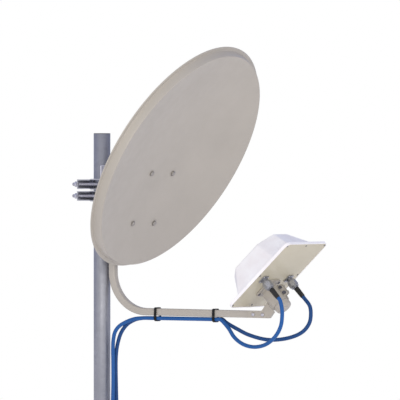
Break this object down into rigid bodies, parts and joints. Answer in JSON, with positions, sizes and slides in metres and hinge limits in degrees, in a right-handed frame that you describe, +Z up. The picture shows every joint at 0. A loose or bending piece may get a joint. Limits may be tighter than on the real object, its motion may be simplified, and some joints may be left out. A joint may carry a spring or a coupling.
{
  "type": "parabolic dish antenna",
  "caption": "Solid oval offset dish on a clamped stub mast, with a bent square feed arm, a boxed feed under a white radome and blue coax jumpers tied along the arm.",
  "frame": {"origin": "centre of the mast's lower end", "axes": "+Z up along the mast, -Y the way the dish looks, X across the dish"},
  "size_m": [0.568, 0.637, 1.0525],
  "materials": {
    "galvanised_steel": "dull galvanised",
    "dark_steel": "dull zinc, darkened",
    "zinc": "bright zinc plate",
    "greige_paint": "satin powder coat",
    "beige_paint": "satin powder coat",
    "white_plastic": "satin moulded plastic",
    "circuit_board": "laminate with copper patches",
    "nickel": "nickel plate",
    "black_rubber": "matt moulded rubber",
    "black_nylon": "matt nylon",
    "blue_jacket": "smooth cable jacket"
  },
  "bodies": {
    "mast": {"mast_tube": "galvanised_steel"},
    "clamp_head": {"mast_bracket": "galvanised_steel", "front_jaw_upper": "dark_steel", "front_jaw_lower": "dark_steel", "rear_jaw_upper": "dark_steel", "rear_jaw_lower": "dark_steel", "clamp_bolt_upper_left": "zinc", "clamp_bolt_upper_right": "zinc", "clamp_bolt_lower_left": "zinc", "clamp_bolt_lower_right": "zinc", "clamp_nut_upper_left": "zinc", "clamp_nut_upper_right": "zinc", "clamp_nut_lower_left": "zinc", "clamp_nut_lower_right": "zinc", "cable_near_drop": "blue_jacket", "cable_far_drop": "blue_jacket", "plug_body_near_tail": "black_rubber", "plug_body_far_tail": "black_rubber"},
    "reflector": {"tilt_bracket": "greige_paint", "pivot_bolt": "zinc", "elevation_lock_bolt_left": "zinc", "elevation_lock_bolt_right": "zinc", "reflector_dish": "greige_paint", "dish_bolt_upper_left": "zinc", "dish_bolt_upper_right": "zinc", "dish_bolt_lower_left": "zinc", "dish_bolt_lower_right": "zinc", "dish_nut_upper_left": "zinc", "dish_nut_upper_right": "zinc", "dish_nut_lower_left": "zinc", "dish_nut_lower_right": "zinc", "feed_arm": "greige_paint", "arm_bolt_upper": "zinc", "arm_bolt_lower": "zinc", "feed_holder": "greige_paint", "holder_screw_rear": "zinc", "holder_screw_front": "zinc", "neck_clamp_ring": "greige_paint", "ring_screw_upper": "dark_steel", "ring_screw_lower": "dark_steel", "cable_tie_rear": "black_nylon", "cable_tie_front": "black_nylon", "cable_near_loop": "blue_jacket", "cable_near_run": "blue_jacket", "cable_far_loop": "blue_jacket", "cable_far_run": "blue_jacket"},
    "feed": {"feed_neck": "greige_paint", "feed_back_plate": "beige_paint", "radome": "white_plastic", "radiator_board": "circuit_board", "panel_socket_near": "nickel", "panel_socket_far": "nickel", "coupling_nut_near_feed": "nickel", "coupling_nut_far_feed": "nickel", "plug_body_near_feed": "nickel", "plug_body_far_feed": "nickel", "plug_boot_near_feed": "black_rubber", "plug_boot_far_feed": "black_rubber"},
    "near_tail_nut": {"coupling_nut_near_tail": "nickel"},
    "far_tail_nut": {"coupling_nut_far_tail": "nickel"}
  },
  "joints": [
    {"name": "azimuth", "type": "hinge", "parent": "mast", "child": "clamp_head", "pos_m": [0, 0, 0.714], "axis": [0, 0, 1], "continuous": true},
    {"name": "elevation", "type": "hinge", "parent": "clamp_head", "child": "reflector", "pos_m": [0, -0.066, 0.746], "axis": [-1, 0, 0], "range_deg": [0, 20]},
    {"name": "feed_roll", "type": "hinge", "parent": "reflector", "child": "feed", "pos_m": [0, -0.466, 0.487], "axis": [0, 0.6833, 0.7302], "range_deg": [-20, 20]},
    {"name": "near_tail_nut_spin", "type": "hinge", "parent": "clamp_head", "child": "near_tail_nut", "pos_m": [-0.012, -0.036, 0.048], "axis": [0, 0, 1], "continuous": true},
    {"name": "far_tail_nut_spin", "type": "hinge", "parent": "clamp_head", "child": "far_tail_nut", "pos_m": [0.012, -0.036, 0.048], "axis": [0, 0, 1], "continuous": true}
  ]
}
